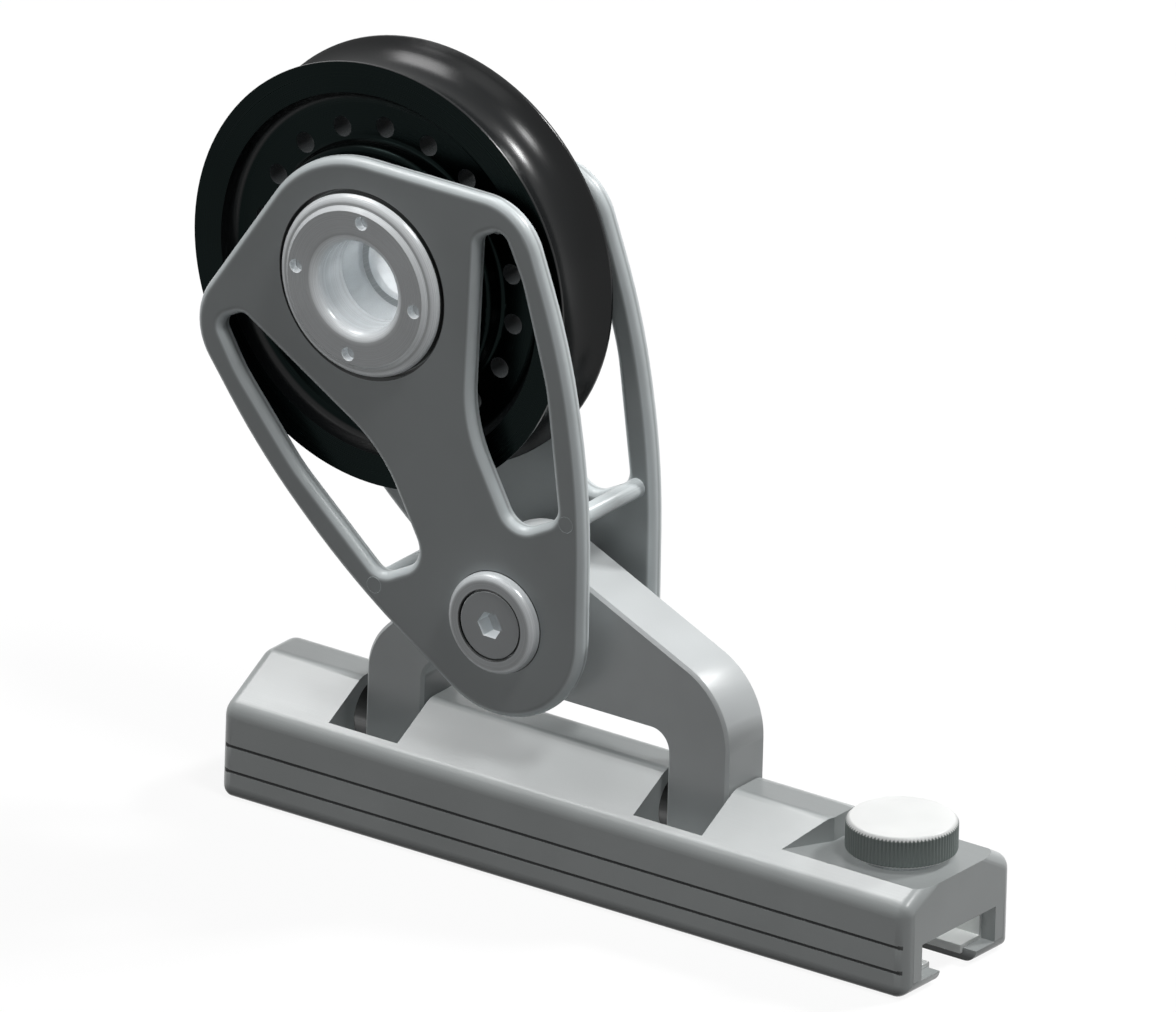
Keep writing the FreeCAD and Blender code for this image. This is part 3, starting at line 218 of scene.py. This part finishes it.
def ramp(tree, value, stops):
    """A colour that runs through (place, colour) stops."""
    made = node(tree, "ShaderNodeValToRGB")
    elements = made.color_ramp.elements
    elements[0].position, elements[1].position = stops[0][0], stops[-1][0]
    for place, _ in stops[1:-1]:
        elements.new(place)
    for element, (_, colour) in zip(elements, stops):
        element.color = (*colour, 1)
    tree.links.new(value, made.inputs["Fac"])
    return made.outputs["Color"]


def ramp_share(tree, value, stops):
    """A share that runs through (place, share) stops."""
    return ramp(tree, value, [(place, (share, share, share)) for place, share in stops])


def ramp_value(tree, value, low, high, start=0.3, end=0.7):
    """A number that runs from low to high as a value runs from start to end."""
    made = node(tree, "ShaderNodeMapRange")
    made.inputs["From Min"].default_value = start
    made.inputs["From Max"].default_value = end
    made.inputs["To Min"].default_value = low
    made.inputs["To Max"].default_value = high
    tree.links.new(value, made.inputs["Value"])
    return made.outputs["Result"]


def facing(tree, axis, stops):
    """A share by how squarely a face looks along an axis of the part."""
    place = node(tree, "ShaderNodeTexCoord")
    parts = split(tree, place.outputs["Normal"])
    return ramp_share(tree, maths(tree, "ABSOLUTE", parts[axis]), stops)


def blended(tree, share, low, high):
    """Two colours mixed by a share."""
    made = node(tree, "ShaderNodeMix", data_type="RGBA")
    tree.links.new(share, made.inputs["Factor"])
    tree.links.new(low, made.inputs["A"])
    tree.links.new(high, made.inputs["B"])
    return made.outputs["Result"]


def noise(tree, vector, scale=1.0, detail=2.0, rough=0.5):
    made = node(
        tree, "ShaderNodeTexNoise", in_Scale=scale, in_Detail=detail, in_Roughness=rough)
    tree.links.new(vector, made.inputs["Vector"])
    return made.outputs["Fac"]


def bump(tree, shader, height, strength, distance=0.1 * MM):
    made = node(tree, "ShaderNodeBump", in_Strength=strength, in_Distance=distance)
    tree.links.new(height, made.inputs["Height"])
    tree.links.new(made.outputs["Normal"], shader.inputs["Normal"])


def tinted(colour, factor):
    return tuple(c * factor for c in colour)


def mottled(tree, colour, size=0.03, spread=0.06):
    """A colour with slow, slight mottling."""
    slow = noise(tree, stretched(tree, (size, size, size)))
    darker, lighter = tinted(colour, 1 - spread), tinted(colour, 1 + spread)
    return ramp(tree, slow, [(0.35, darker), (0.65, lighter)])


def lay_painted_shade(tree, shader, share, painted_shade=(0.045, 0.048, 0.048)):
    """Lays painted shade, a darker tone, over the base colour where a share says."""
    base = shader.inputs["Base Color"]
    tree.links.new(blended(tree, share, base.links[0].from_socket, mottled(tree, painted_shade)), base)


# Materials

TURNING_BUMP = 0.05 * MM
CAR_COAT = 0.35
ROPE_POLISH = -0.03


def anodised(name, colour, roughness, streak=(1, 1, 1), rounds=None, flats=()):
    """Anodised metal: a fine grain and slow mottling, with streaks where drawn, a painted highlight
    on the rounds, and painted shade on flats square to an axis, each (axis, share of the tone)."""
    made, tree, shader = material(name)
    fine = noise(tree, stretched(tree, streak), scale=2.5, detail=4.0, rough=0.65)
    tone = mottled(tree, colour)
    # Painted highlight: a lighter tone on the rounds
    if rounds:
        lighter = mottled(tree, tinted(colour, rounds))
        tone = blended(tree, facing(tree, "Y", ROUND_HIGHLIGHT_STOPS), tone, lighter)
    # Painted shade: a darker tone on flats square to an axis
    for axis, flat_shade in flats:
        shaded_flat = mottled(tree, tinted(colour, flat_shade))
        tone = blended(tree, facing(tree, axis, FLAT_SHADE_STOPS), tone, shaded_flat)
    tree.links.new(tone, shader.inputs["Base Color"])
    skin = ramp_value(tree, fine, roughness - 0.05, roughness + 0.05)
    tree.links.new(skin, shader.inputs["Roughness"])
    bump(tree, shader, fine, 0.25)
    return made


def car_grey():
    """Drawn and anodised aluminium under a clear coat, with painted shade along the bottom of each
    side, in the two grooves of each side and in the core bore, where the coat ends, and on its tops
    and ends."""
    # Painted shade on the car's tops and ends
    made = anodised(
        "car_grey", (0.42, 0.445, 0.445), 0.38,
        streak=(0.02, 1.5, 1.5), flats=[("Z", 0.62), ("X", 0.8)])
    tree = made.node_tree
    shader = tree.nodes["Principled BSDF"]
    parts = split(tree, stretched(tree, (1, 1, 1)))
    # Painted shade along the bottom of each side, standing in for a round's shading
    rise = ramp_value(tree, parts["Z"], 0.0, 1.0, 0.0, FOOT_SHADE_HEIGHT)
    height = ramp_share(tree, rise, FOOT_SHADE_STOPS)
    foot_shade = maths(tree, "MULTIPLY", height, facing(tree, "Y", FOOT_SHADE_FACING))
    lay_painted_shade(tree, shader, foot_shade, (0.05, 0.055, 0.055))
    # Painted shade in the side grooves and the core bore
    rows = maths(
        tree, "MAXIMUM",
        between(tree, parts["Z"], *LOWER_GROOVE), between(tree, parts["Z"], *UPPER_GROOVE))
    depth = between(tree, maths(tree, "ABSOLUTE", parts["Y"]), *GROOVE_DEPTHS)
    grooves = maths(tree, "MULTIPLY", rows, depth)
    bore = within(tree, *CORE_BORE)
    core = maths(tree, "MULTIPLY", bore, between(tree, parts["X"], *CORE_ENDS))
    crevice_shade = maths(tree, "MAXIMUM", grooves, core)
    lay_painted_shade(tree, shader, crevice_shade)
    painted_shade = maths(tree, "MAXIMUM", crevice_shade, foot_shade)
    coat = ramp_value(tree, painted_shade, CAR_COAT, 0.0, 0.0, 1.0)
    tree.links.new(coat, shader.inputs["Coat Weight"])
    shader.inputs["Coat Roughness"].default_value = 0.2
    return made


def with_painted_seam_shade(made, *seams):
    """Painted shade in rings where round parts meet."""
    tree = made.node_tree
    share = within(tree, *seams[0])
    for seam in seams[1:]:
        share = maths(tree, "MAXIMUM", share, within(tree, *seam))
    lay_painted_shade(tree, tree.nodes["Principled BSDF"], share)
    return made


def turning(tree, axis, pitch):
    """Fine rings of one pitch round an axis."""
    return noise(tree, scaled(tree, away_from(tree, axis), 1 / pitch))


def turned_metal(name, axis, colour, metallic, roughness, rounds=None):
    """Turned metal: fine rings round its axis, and a painted highlight off the flat faces."""
    made, tree, shader = material(name)
    rings = turning(tree, axis, 0.22)
    tone = mottled(tree, colour, size=0.05, spread=0.05)
    # Painted highlight: a lighter tone on rounds, bores and walls
    if rounds:
        lighter = mottled(tree, tinted(colour, rounds), size=0.05, spread=0.03)
        tone = blended(tree, facing(tree, AXES[axis][0], TURNED_HIGHLIGHT_STOPS), tone, lighter)
    tree.links.new(tone, shader.inputs["Base Color"])
    skin = ramp_value(tree, rings, roughness - 0.06, roughness + 0.08)
    tree.links.new(skin, shader.inputs["Roughness"])
    shader.inputs["Metallic"].default_value = metallic
    bump(tree, shader, rings, 0.3, TURNING_BUMP)
    return made


def sheave_black():
    """Black hard anodising, glossy in the rope's groove, with painted light on the walls of the
    drilled holes.
    """
    made, tree, shader = material("sheave_black")
    rings = turning(tree, "sheave", 0.25)
    groove = maths(
        tree, "MULTIPLY", within(tree, *ROPE_GROOVE), facing(tree, "Y", GROOVE_STOPS))
    # Painted light: a lighter tone on the walls of the web's holes
    holes = maths(tree, "MULTIPLY", within(tree, *WEB_HOLES), facing(tree, "Y", HOLE_LIGHT_STOPS))
    flat_tone = mottled(tree, (0.0055, 0.0085, 0.0082))
    groove_tone = mottled(tree, (0.0065, 0.0075, 0.008))
    painted_hole_light = mottled(tree, (0.07, 0.075, 0.077))
    tone = blended(tree, holes, blended(tree, groove, flat_tone, groove_tone), painted_hole_light)
    tree.links.new(tone, shader.inputs["Base Color"])
    flat = maths(tree, "SUBTRACT", 1.0, maths(tree, "MAXIMUM", groove, holes))
    tree.links.new(flat, shader.inputs["Metallic"])
    skin = ramp_value(tree, rings, 0.23, 0.30)
    smooth = maths(tree, "MULTIPLY_ADD", groove, ROPE_POLISH, skin)
    tree.links.new(smooth, shader.inputs["Roughness"])
    shader.inputs["Specular IOR Level"].default_value = 0.28
    bump(tree, shader, rings, 0.25, TURNING_BUMP)
    return made


def knob_metal():
    """A turned top with painted light over a knurled side with painted shade."""
    made, tree, shader = material("knob_metal")
    rings = turning(tree, "knob", 0.3)
    # Painted light on the top and painted shade on the knurled side
    lit_top_tone = mottled(tree, (0.80, 0.81, 0.80))
    shaded_side_tone = mottled(tree, (0.20, 0.235, 0.225))
    tone = blended(tree, facing(tree, "Z", KNOB_SIDE_SHADE_STOPS), lit_top_tone, shaded_side_tone)
    tree.links.new(tone, shader.inputs["Base Color"])
    tree.links.new(ramp_value(tree, rings, 0.3, 0.42), shader.inputs["Roughness"])
    bump(tree, shader, rings, 0.2, TURNING_BUMP)
    return made


def moulded(name, colour, roughness):
    """Moulded plastic with a fine skin."""
    made, tree, shader = material(name)
    fine = noise(tree, stretched(tree, (1, 1, 1)), scale=1.2, detail=3.0)
    tone = mottled(tree, colour, size=0.08, spread=0.07)
    tree.links.new(tone, shader.inputs["Base Color"])
    skin = ramp_value(tree, fine, roughness - 0.05, roughness + 0.05)
    tree.links.new(skin, shader.inputs["Roughness"])
    bump(tree, shader, fine, 0.2)
    return made


MATERIALS = {
    "car_grey": car_grey(),
    # Painted shade on the bridge's ends
    "bridge_grey": anodised("bridge_grey", (0.57, 0.595, 0.60), 0.34, flats=[("X", 0.58)]),
    "cheek_grey": with_painted_seam_shade(
        # Painted highlight on the cheeks' rounds
        anodised("cheek_grey", (0.335, 0.36, 0.365), 0.32, rounds=2.15),
        NUT_IN_CHEEK, COLLAR_IN_CHEEK),
    "sheave_black": sheave_black(),
    # Painted highlights on the rounds and bores of the nuts, collars and bolt
    "nut_bright": with_painted_seam_shade(
        turned_metal("nut_bright", "sheave", (0.54, 0.56, 0.57), 0.1, 0.27, rounds=1.65),
        NUT_RIM),
    "bright_steel": with_painted_seam_shade(
        turned_metal("bright_steel", "pivot", (0.47, 0.49, 0.50), 0.1, 0.24, rounds=1.65),
        COLLAR_MOUTH),
    "bolt_grey": with_painted_seam_shade(
        turned_metal("bolt_grey", "pivot", (0.48, 0.50, 0.51), 0.0, 0.36, rounds=1.7),
        BOLT_RIM),
    "fastener_steel": turned_metal("fastener_steel", "bar", (0.45, 0.47, 0.48), 0.9, 0.35),
    "spring_steel": turned_metal("spring_steel", "knob", (0.5, 0.51, 0.53), 0.9, 0.3),
    "knob_metal": knob_metal(),
    "liner_white": moulded("liner_white", (0.86, 0.88, 0.87), 0.5),
    "bearing_dark": moulded("bearing_dark", (0.025, 0.026, 0.028), 0.45),
    "roller_plastic": moulded("roller_plastic", (0.20, 0.15, 0.07), 0.4),
}
SLOT_OF = {entry["node"]: entry["material_slot"] for entry in frame["record"]["subparts"]}

for name, item in NODES.items():
    item.data.materials.clear()
    item.data.materials.append(MATERIALS[SLOT_OF[name]])


# Small rounds on the edges of the solids

# Widths in millimetres
EDGE_ROUND = {
    "car_body": 0.35,
    "bridge": 0.3,
    "cheek_near": 0.22,
    "cheek_far": 0.22,
    "spacer_left": 0.25,
    "spacer_right": 0.25,
    "axle_nut_near": 0.2,
    "axle_nut_far": 0.2,
    "pivot_collar_near": 0.25,
    "pivot_collar_far": 0.25,
    "pivot_bolt": 0.15,
    "pivot_nut": 0.15,
    "sheave": 0.25,
    "hollow_axle": 0.15,
    "plunger_housing": 0.2,
    "slide_liner_near": 0.2,
    "slide_liner_far": 0.2,
}
SEAM_REACH = 0.002 * MM
SHARP_ANGLE = math.radians(28)


def round_edges(item, width):
    """Joins the seams of a solid and rounds its sharp edges."""
    weld = item.modifiers.new("seams", "WELD")
    weld.merge_threshold = SEAM_REACH
    edges = item.modifiers.new("edges", "BEVEL")
    edges.width = width * MM
    edges.segments = 3
    edges.limit_method = "ANGLE"
    edges.angle_limit = SHARP_ANGLE
    edges.harden_normals = True


for name, width in EDGE_ROUND.items():
    round_edges(NODES[name], width)


# Knurled knob, in place of the plainer solid, in millimetres

FLUTES = 88
STEPS_PER_FLUTE = 6
FLUTE_DEPTH = 0.42
STEM_BORE = 3.02
KNOB_ROOF = 2.0
GRUB_CLEARANCE = 0.05
GRUB_HOLE_START, GRUB_HOLE_END = 2.0, 17.0
DRILL_SIDES = 32


def finished(mesh, name):
    """A new object from a bmesh."""
    data = bpy.data.meshes.new(name)
    mesh.to_mesh(data)
    mesh.free()
    item = bpy.data.objects.new(name, data)
    bpy.context.scene.collection.objects.link(item)
    return item


def knob_rows(radius, low, high):
    """The knob's profile from its bore to its top: (radius, height, share of the flutes' depth)."""
    chamfer, bevel, run, lip = 0.55, 1.1, 0.3, 0.05
    return [
        (STEM_BORE, low, 0),
        (radius - chamfer - run, low, 0),
        (radius - chamfer, low + 2 * lip, 0),
        (radius - lip, low + chamfer, 0.3),
        (radius, low + chamfer + run, 1),
        (radius, high - bevel - run, 1),
        (radius - lip, high - bevel, 0.3),
        (radius - bevel + 0.25, high - 0.28, 0),
        (radius - bevel, high - 0.06, 0),
        (radius - bevel - run, high, 0),
        (radius * 0.7, high, 0),
        (radius * 0.35, high, 0),
    ]


def knurled_knob():
    """A lathe form with fine straight flutes, and a blind bore for its stem."""
    low, high = KNOB_LOW.z / MM, KNOB_HIGH.z / MM
    roof = high - KNOB_ROOF
    radius = (KNOB_HIGH.x - KNOB_LOW.x) / 2 / MM
    columns = FLUTES * STEPS_PER_FLUTE
    mesh = bmesh.new()

    def point(reach, angle, height):
        across, along = reach * math.cos(angle), reach * math.sin(angle)
        return mesh.verts.new(((KNOB_X + across) * MM, along * MM, height * MM))

    def ring(reach, height, share):
        made = []
        for column in range(columns):
            angle = 2 * math.pi * column / columns
            dip = 0.5 - 0.5 * math.cos(FLUTES * angle)
            made.append(point(reach - FLUTE_DEPTH * share * dip ** 2, angle, height))
        return made

    rows = [ring(*row) for row in knob_rows(radius, low, high)]
    inner = ring(STEM_BORE, roof, 0)
    for first, second in zip([inner] + rows, rows):
        for column in range(columns):
            after = (column + 1) % columns
            mesh.faces.new((first[column], first[after], second[after], second[column]))
    top_tip, roof_tip = point(0, 0, high), point(0, 0, roof)
    for column in range(columns):
        after = (column + 1) % columns
        mesh.faces.new((rows[-1][column], rows[-1][after], top_tip))
        mesh.faces.new((inner[after], inner[column], roof_tip))
    bmesh.ops.recalc_face_normals(mesh, faces=mesh.faces)
    for face in mesh.faces:
        face.smooth = True
    return finished(mesh, "knob")


def drill(item, start, end, radius):
    """Cuts a round hole between two points, in millimetres."""
    mesh = bmesh.new()
    span = Vector(end) - Vector(start)
    turn = span.to_track_quat("Z", "Y").to_matrix().to_4x4()
    middle = (Vector(start) + Vector(end)) / 2
    bmesh.ops.create_cone(
        mesh, cap_ends=True, segments=DRILL_SIDES,
        radius1=radius * MM, radius2=radius * MM, depth=span.length * MM,
        matrix=Matrix.Translation(middle * MM) @ turn)
    tool = finished(mesh, "drill")
    cut = item.modifiers.new("hole", "BOOLEAN")
    cut.operation, cut.solver, cut.object = "DIFFERENCE", "EXACT", tool
    bpy.context.view_layer.update()
    evaluated = item.evaluated_get(bpy.context.evaluated_depsgraph_get())
    result = bpy.data.meshes.new_from_object(evaluated)
    item.modifiers.remove(cut)
    item.data = result
    bpy.data.objects.remove(tool)


GRUB_LOW, GRUB_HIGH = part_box("knob_grub_screw")
grub_height = (GRUB_LOW.z + GRUB_HIGH.z) / 2 / MM
grub_radius = (GRUB_HIGH.x - GRUB_LOW.x) / 2 / MM + GRUB_CLEARANCE
knob = knurled_knob()
drill(
    knob, (KNOB_X, GRUB_HOLE_START, grub_height), (KNOB_X, GRUB_HOLE_END, grub_height),
    grub_radius)
knob.data.materials.append(MATERIALS["knob_metal"])
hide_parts("plunger_knob")
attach(knob, "plunger")


# Plunger spring, carried with the knob


def closing_spring():
    """The coil, a copy of the spring with its own mesh, carried with the plunger."""
    coil = bpy.data.objects.new("coil_spring", NODES["plunger_spring"].data.copy())
    bpy.context.scene.collection.objects.link(coil)
    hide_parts("plunger_spring")
    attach(coil, "plunger")
    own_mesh(coil)


closing_spring()


# Stage, light and camera, in metres

FLOOR_REACH = 4.0
FLOOR_DROP = 0.0005
FLOOR_PALE = (0.9, 0.9, 0.9, 1)
FLOOR_TO_LIGHT = (0.08, 0.08, 0.08, 1)
FLOOR_GLOW = 0.85

SKY_TINT = (0.92, 0.96, 1.0, 1)
SKY_STRENGTH = 0.03

# Each lamp: name, direction from the part, width, watts, casts a shadow
LAMP_DISTANCE = 2.8
LAMP_TARGET = Vector((-0.03, 0.0, 0.1))
LAMPS = [
    ("key", (0.45, -0.10, 0.88), 0.52, 26.0, True),
    ("ridge", (0.37, 0.62, 0.69), 0.42, 44.0, True),
    ("slope_fill", (-0.52, 0.05, 0.85), 1.2, 42.0, False),
    ("front_fill", (-0.1, -0.45, 0.87), 1.2, 4.5, False),
    ("edge_fill", (-0.52, -0.45, 0.73), 0.5, 3.0, False),
]

VIEW_RIGHT = Vector((0.8159, 0.5775, 0.0281))
VIEW_UP = Vector((-0.2472, 0.3045, 0.9199))
VIEW_TARGET = Vector((-12.33, 0.0, 103.9)) * MM
VIEW_WIDTH = 0.31913
VIEW_DISTANCE = 1.2


def seen_directly(tree):
    """One for rays from the camera, a reflection or glass, and nothing for light itself."""
    path = node(tree, "ShaderNodeLightPath")
    seen = maths(tree, "MAXIMUM", path.outputs["Is Camera Ray"], path.outputs["Is Glossy Ray"])
    return maths(tree, "MAXIMUM", seen, path.outputs["Is Transmission Ray"])


def mixed_shader(tree, share, first, second):
    made = node(tree, "ShaderNodeMixShader")
    tree.links.new(share, made.inputs["Fac"])
    tree.links.new(first, made.inputs[1])
    tree.links.new(second, made.inputs[2])
    return made.outputs["Shader"]


def floor():
    """A pale floor that the camera sees as white, and that throws little light at the part."""
    made, tree, shader = material("studio_floor")
    shader.inputs["Roughness"].default_value = 0.9
    path = node(tree, "ShaderNodeLightPath")
    paint = node(tree, "ShaderNodeMix", data_type="RGBA")
    paint.inputs["A"].default_value = FLOOR_TO_LIGHT
    paint.inputs["B"].default_value = FLOOR_PALE
    grain = noise(tree, stretched(tree, (0.02, 0.02, 0.02)))
    bump(tree, shader, grain, 0.02)
    tree.links.new(path.outputs["Is Camera Ray"], paint.inputs["Factor"])
    tree.links.new(paint.outputs["Result"], shader.inputs["Base Color"])
    glow = node(tree, "ShaderNodeEmission", in_Color=(1, 1, 1, 1), in_Strength=1.0)
    share = maths(tree, "MULTIPLY", seen_directly(tree), FLOOR_GLOW)
    surface = mixed_shader(tree, share, shader.outputs["BSDF"], glow.outputs["Emission"])
    tree.links.new(surface, tree.nodes["Material Output"].inputs["Surface"])
    mesh = bpy.data.meshes.new("floor")
    corners = [(-1, -1), (1, -1), (1, 1), (-1, 1)]
    mesh.from_pydata(
        [(x * FLOOR_REACH, y * FLOOR_REACH, 0) for x, y in corners], [], [(0, 1, 2, 3)])
    item = bpy.data.objects.new("floor", mesh)
    bpy.context.scene.collection.objects.link(item)
    item.location.z = -FLOOR_DROP
    mesh.materials.append(made)


def softbox(name, direction, width, power, shadow):
    """A square soft lamp aimed at the part."""
    lamp = bpy.data.lights.new(name, "AREA")
    lamp.shape = "SQUARE"
    lamp.size = width
    lamp.energy = power
    lamp.use_shadow = shadow
    item = bpy.data.objects.new(name, lamp)
    bpy.context.scene.collection.objects.link(item)
    towards = Vector(direction).normalized()
    item.location = LAMP_TARGET + towards * LAMP_DISTANCE
    item.rotation_mode = "QUATERNION"
    item.rotation_quaternion = (-towards).to_track_quat("-Z", "Y")


def world():
    """A dim sky for the light, and white where the camera or a reflection looks."""
    made = bpy.data.worlds.new("studio")
    made.use_nodes = True
    tree = made.node_tree
    back = tree.nodes["Background"]
    back.inputs["Color"].default_value = SKY_TINT
    back.inputs["Strength"].default_value = SKY_STRENGTH
    bright = node(tree, "ShaderNodeBackground", in_Strength=1.0)
    surface = mixed_shader(
        tree, seen_directly(tree), back.outputs["Background"], bright.outputs["Background"])
    tree.links.new(surface, tree.nodes["World Output"].inputs["Surface"])
    bpy.context.scene.world = made


def camera():
    """A parallel camera at the photograph's angle."""
    right = VIEW_RIGHT.normalized()
    up = (VIEW_UP - right * VIEW_UP.dot(right)).normalized()
    back = right.cross(up)
    lens = bpy.data.cameras.new("camera")
    lens.type = "ORTHO"
    lens.ortho_scale = VIEW_WIDTH
    lens.clip_start, lens.clip_end = 0.01, 10
    item = bpy.data.objects.new("camera", lens)
    bpy.context.scene.collection.objects.link(item)
    turn = Matrix((right, up, back)).transposed().to_4x4()
    item.matrix_world = Matrix.Translation(VIEW_TARGET + back * VIEW_DISTANCE) @ turn
    bpy.context.scene.camera = item


floor()
world()
for lamp_values in LAMPS:
    softbox(*lamp_values)
camera()
bpy.context.scene.view_settings.view_transform = "Standard"
